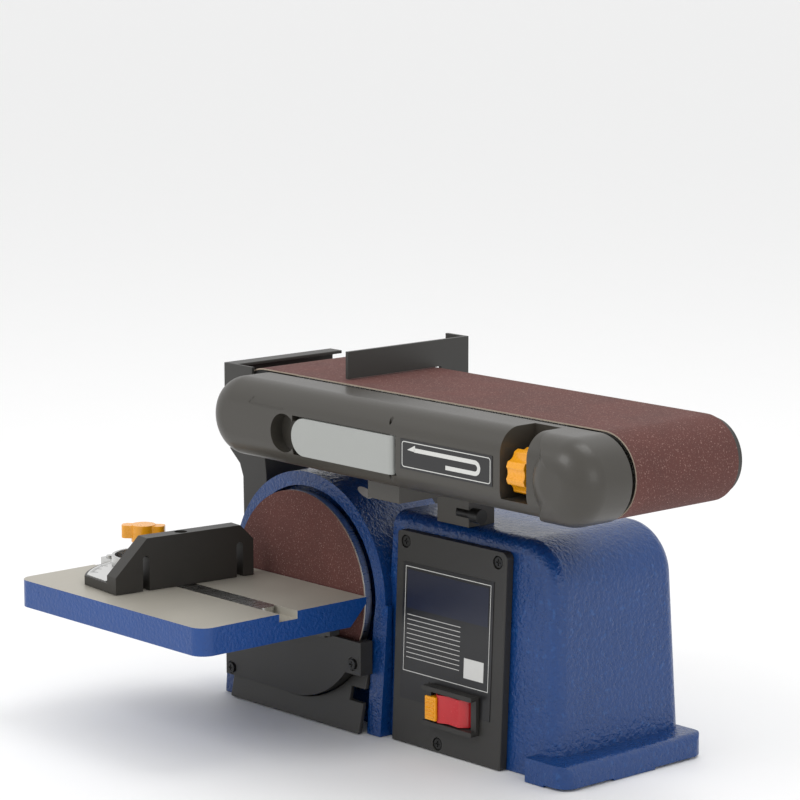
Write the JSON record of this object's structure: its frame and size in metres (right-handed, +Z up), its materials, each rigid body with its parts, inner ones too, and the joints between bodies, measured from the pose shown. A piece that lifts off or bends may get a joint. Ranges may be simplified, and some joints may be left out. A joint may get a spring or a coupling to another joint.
{
  "type": "belt and disc bench sander",
  "caption": "Bench sander: tilting abrasive belt deck above a cast base, vertical abrasive disc with tilting work table and miter gauge, paddle switch.",
  "frame": {"origin": "centre of the line between the two bench bolt holes, on the bench plane", "axes": "+X along the belt towards the idler end, +Y from the disc face to the back, +Z up from the bench"},
  "size_m": [0.5324, 0.319, 0.2955],
  "materials": {
    "blue_casting": "gloss hammered paint",
    "table_iron": "blue paint, machined top",
    "black_plastic": "satin",
    "black_steel": "black oxide",
    "label": "printed film",
    "red_plastic": "gloss",
    "yellow_plastic": "gloss",
    "abrasive": "coated grit",
    "aluminium": "turned",
    "zinc_steel": "zinc plated",
    "shaft_steel": "ground",
    "copper": "enamelled wire",
    "black_sheet": "satin black",
    "belt_rubber": "moulded",
    "arm_paint": "satin dark grey paint on an aluminium casting",
    "drum_rubber": "moulded",
    "lever_grey": "satin light grey",
    "gauge_black": "satin black",
    "scale_silver": "brushed"
  },
  "bodies": {
    "base": {"arm_rest": "arm_paint", "base_casting": "blue_casting", "bracket_bolts": "black_steel", "cord_gland": "black_plastic", "disc_guard": "black_plastic", "drive_belt": "belt_rubber", "drive_cover": "black_plastic", "drive_cover_screws": "black_steel", "drum_rear_bearing": "shaft_steel", "dust_chute": "black_plastic", "lower_panel": "black_plastic", "motor_bearings": "shaft_steel", "motor_front_bell": "aluminium", "motor_rear_bell": "aluminium", "motor_rear_cover": "black_sheet", "panel_screws": "black_steel", "pivot_bracket": "arm_paint", "rating_label": "label", "run_capacitor": "aluminium", "stator_core": "shaft_steel", "stator_winding": "copper", "switch_bezel": "black_plastic", "switch_body": "black_plastic", "switch_panel": "black_plastic", "table_bracket": "black_sheet", "table_hinge_pin": "shaft_steel"},
    "rotor": {"motor_shaft": "shaft_steel", "rotor_core": "shaft_steel", "disc_plate": "aluminium", "abrasive_disc": "abrasive", "motor_pulley": "aluminium"},
    "drum": {"drive_drum": "drum_rubber", "drum_pulley": "aluminium"},
    "arm": {"arm_casting": "arm_paint", "platen": "zinc_steel", "sanding_belt": "abrasive", "drum_front_bearing": "shaft_steel", "direction_plate": "label", "work_stop": "black_sheet", "deck_screws": "black_steel", "belt_end_guard": "black_sheet", "idler_end_guard": "black_sheet", "lever_pin": "shaft_steel"},
    "carriage": {"idler_carriage": "zinc_steel"},
    "idler": {"idler_drum": "aluminium", "idler_bearings": "shaft_steel"},
    "lever": {"tension_lever": "lever_grey"},
    "tracker": {"tracking_knob": "yellow_plastic", "tracking_screw": "zinc_steel"},
    "table": {"work_table": "table_iron"},
    "table_lock": {"table_lock_knob": "black_plastic"},
    "gauge_bar": {"miter_bar": "zinc_steel", "miter_pointer": "zinc_steel", "miter_collar": "zinc_steel"},
    "gauge_head": {"miter_head": "gauge_black", "miter_scale": "scale_silver"},
    "gauge_lock": {"miter_knob": "yellow_plastic"},
    "rocker": {"switch_rocker": "red_plastic"},
    "key": {"safety_key": "yellow_plastic"},
    "lock_bolt": {"arm_lock_bolt": "black_steel"}
  },
  "joints": [
    {"name": "disc_spin", "type": "hinge", "parent": "base", "child": "rotor", "pos_m": [-0.0985, 0, 0.1005], "axis": [0, 1, 0], "continuous": true},
    {"name": "drum_spin", "type": "hinge", "parent": "base", "child": "drum", "pos_m": [-0.1055, 0, 0.2432], "axis": [0, 1, 0], "continuous": true},
    {"name": "arm_tilt", "type": "hinge", "parent": "base", "child": "arm", "pos_m": [-0.1055, 0, 0.2432], "axis": [0, -1, 0], "range_deg": [0, 90]},
    {"name": "belt_tension", "type": "slide", "parent": "arm", "child": "carriage", "axis": [1, 0, 0], "range_m": [-0.01, 0]},
    {"name": "idler_spin", "type": "hinge", "parent": "carriage", "child": "idler", "pos_m": [0.25588, 0, 0.2432], "axis": [0, 1, 0], "continuous": true},
    {"name": "tension_lever_swing", "type": "hinge", "parent": "arm", "child": "lever", "pos_m": [0.0865, -0.143, 0.2432], "axis": [0, 0, 1], "range_deg": [0, 92]},
    {"name": "tracking_turn", "type": "hinge", "parent": "arm", "child": "tracker", "pos_m": [0.214, -0.129, 0.2432], "axis": [1, 0, 0], "range_deg": [-180, 180]},
    {"name": "table_tilt", "type": "hinge", "parent": "base", "child": "table", "pos_m": [-0.11, -0.09, 0.092], "axis": [1, 0, 0], "range_deg": [0, 45]},
    {"name": "table_lock_turn", "type": "hinge", "parent": "base", "child": "table_lock", "pos_m": [-0.199, -0.105, 0.06602], "axis": [1, 0, 0], "range_deg": [-90, 0]},
    {"name": "gauge_slide", "type": "slide", "parent": "table", "child": "gauge_bar", "axis": [1, 0, 0], "range_m": [-0.08, 0.1]},
    {"name": "gauge_turn", "type": "hinge", "parent": "gauge_bar", "child": "gauge_head", "pos_m": [-0.1455, -0.15225, 0.11], "axis": [0, 0, 1], "range_deg": [-38.8, 51.2]},
    {"name": "gauge_lock_turn", "type": "hinge", "parent": "gauge_bar", "child": "gauge_lock", "pos_m": [-0.1925, -0.15225, 0.13], "axis": [0, 0, 1], "range_deg": [-90, 90]},
    {"name": "switch_rock", "type": "hinge", "parent": "base", "child": "rocker", "pos_m": [0.0715, -0.058, 0.0365], "axis": [0, 0, 1], "range_deg": [0, 16]},
    {"name": "key_pull", "type": "slide", "parent": "rocker", "child": "key", "axis": [0, -1, 0], "range_m": [0, 0.015]},
    {"name": "arm_lock_turn", "type": "hinge", "parent": "base", "child": "lock_bolt", "pos_m": [0.075, -0.055, 0.182], "axis": [1, 0, 0], "range_deg": [0, 180]}
  ],
  "couplings": [
    {"joint": "drum_spin", "follows": "disc_spin", "ratio": 0.8961},
    {"joint": "idler_spin", "follows": "disc_spin", "ratio": 0.8961},
    {"joint": "belt_tension", "follows": "tension_lever_swing", "m_per_rad": -0.006166}
  ]
}
